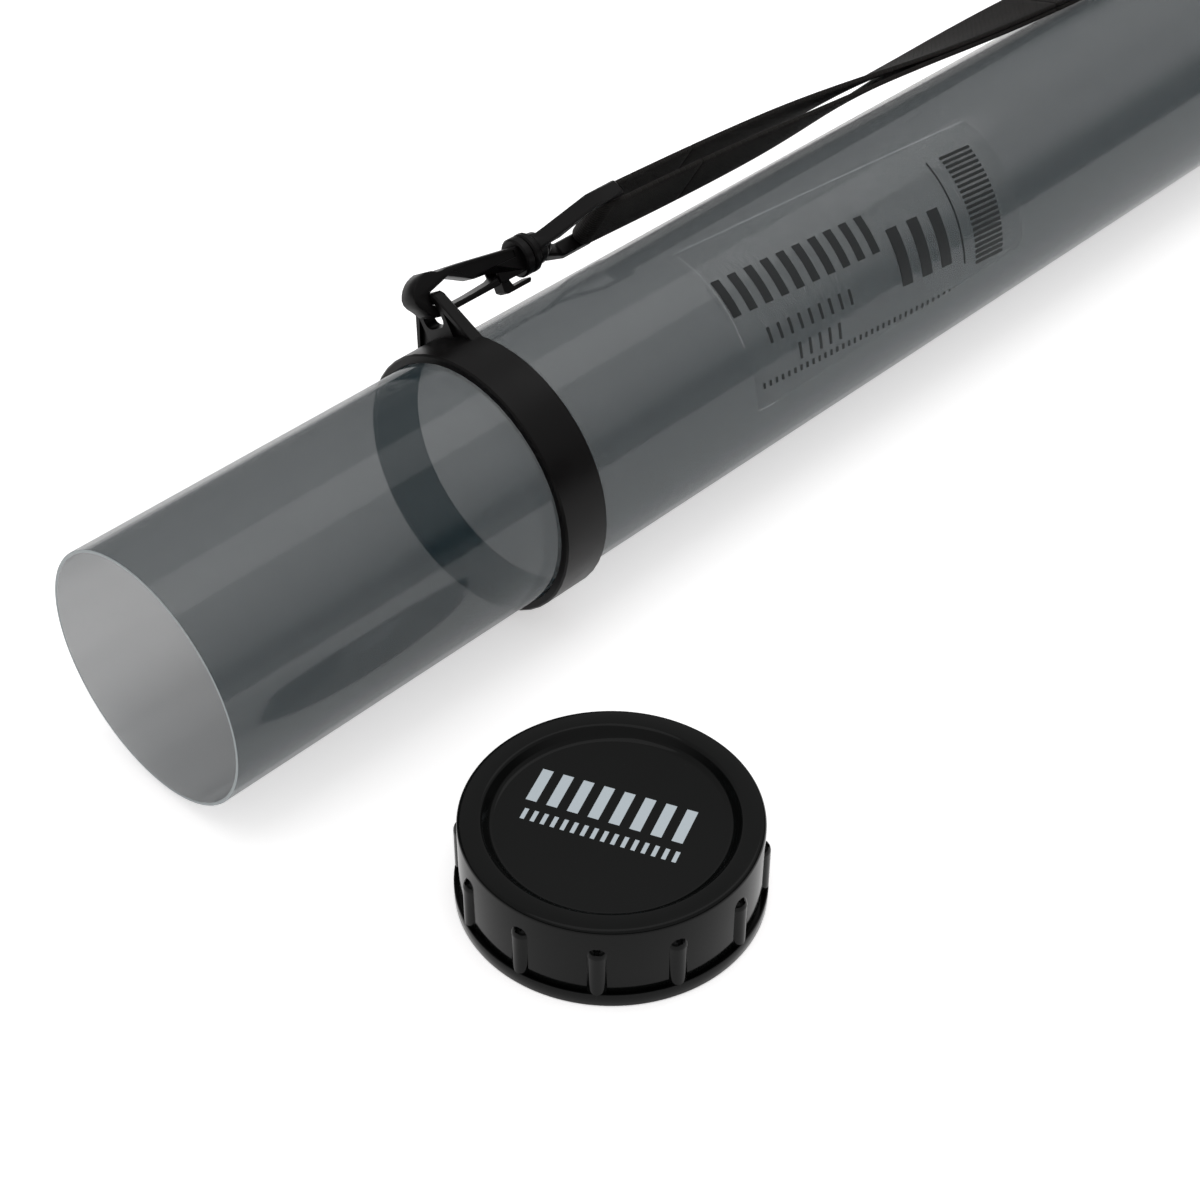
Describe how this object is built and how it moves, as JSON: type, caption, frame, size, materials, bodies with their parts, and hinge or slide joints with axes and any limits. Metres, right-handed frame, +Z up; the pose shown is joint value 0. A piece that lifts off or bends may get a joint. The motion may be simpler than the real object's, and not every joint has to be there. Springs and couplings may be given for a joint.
{
  "type": "storage tube",
  "caption": "Clear smoked storage tube for rolled drawings, with black push-on caps, lugged collars and a webbing shoulder strap on swivel snap hooks.",
  "frame": {"origin": "middle of the footprint, on the ground", "axes": "+Y along the tube from its open mouth to its capped end, +X towards the cap that stands beside the mouth, +Z up"},
  "size_m": [0.1818, 0.9416, 0.0914],
  "materials": {
    "smoked_clear": "smoked clear tube, polished",
    "black_plastic": "satin moulded",
    "gloss_black": "gloss moulded",
    "black_webbing": "flat woven webbing",
    "clear_film": "clear printed film"
  },
  "bodies": {
    "tube_body": {"tube": "smoked_clear", "near_collar": "black_plastic", "far_collar": "black_plastic", "strap": "black_webbing", "near_cap": "gloss_black", "label": "clear_film"},
    "near_hook_body": {"near_hook": "black_plastic"},
    "near_gate_body": {"near_hook_gate": "black_plastic"},
    "near_loop_body": {"near_hook_loop": "black_plastic"},
    "far_hook_body": {"far_hook": "black_plastic"},
    "far_gate_body": {"far_hook_gate": "black_plastic"},
    "far_loop_body": {"far_hook_loop": "black_plastic"},
    "slide_body": {"strap_slide": "black_plastic"},
    "far_cap_body": {"far_cap": "gloss_black"}
  },
  "joints": [
    {"name": "near_hook_swing", "type": "hinge", "parent": "tube_body", "child": "near_hook_body", "pos_m": [-0.07873, -0.3487, 0.08001], "axis": [0.8434, 0, 0.5373], "range_deg": [0, 40], "deforming": ["strap"]},
    {"name": "near_hook_gate_open", "type": "hinge", "parent": "near_hook_body", "child": "near_gate_body", "pos_m": [-0.07681, -0.3252, 0.077], "axis": [-0.8434, 0, -0.5373], "range_deg": [0, 16], "stiffness_Nm_per_rad": 0.008, "springref_deg": -17.19},
    {"name": "near_loop_swivel", "type": "hinge", "parent": "near_hook_body", "child": "near_loop_body", "pos_m": [-0.07803, -0.311, 0.07891], "axis": [0, 1, 0], "range_deg": [-18, 45], "deforming": ["strap"]},
    {"name": "far_hook_swing", "type": "hinge", "parent": "tube_body", "child": "far_hook_body", "pos_m": [-0.07873, 0.347, 0.08001], "axis": [-0.8434, 0, -0.5373], "range_deg": [0, 40], "deforming": ["strap"]},
    {"name": "far_hook_gate_open", "type": "hinge", "parent": "far_hook_body", "child": "far_gate_body", "pos_m": [-0.07681, 0.3235, 0.077], "axis": [0.8434, 0, 0.5373], "range_deg": [0, 16], "stiffness_Nm_per_rad": 0.008, "springref_deg": -17.19},
    {"name": "far_loop_swivel", "type": "hinge", "parent": "far_hook_body", "child": "far_loop_body", "pos_m": [-0.07803, 0.3093, 0.07891], "axis": [0, 1, 0], "range_deg": [-18, 45], "deforming": ["strap"]},
    {"name": "strap_slide_adjust", "type": "slide", "parent": "tube_body", "child": "slide_body", "axis": [0, 1, 0], "range_m": [-0.03, 0.03], "deforming": ["strap"]},
    {"name": "far_cap_pull", "type": "slide", "parent": "tube_body", "child": "far_cap_body", "axis": [0, 1, 0], "range_m": [0, 0.06]}
  ]
}
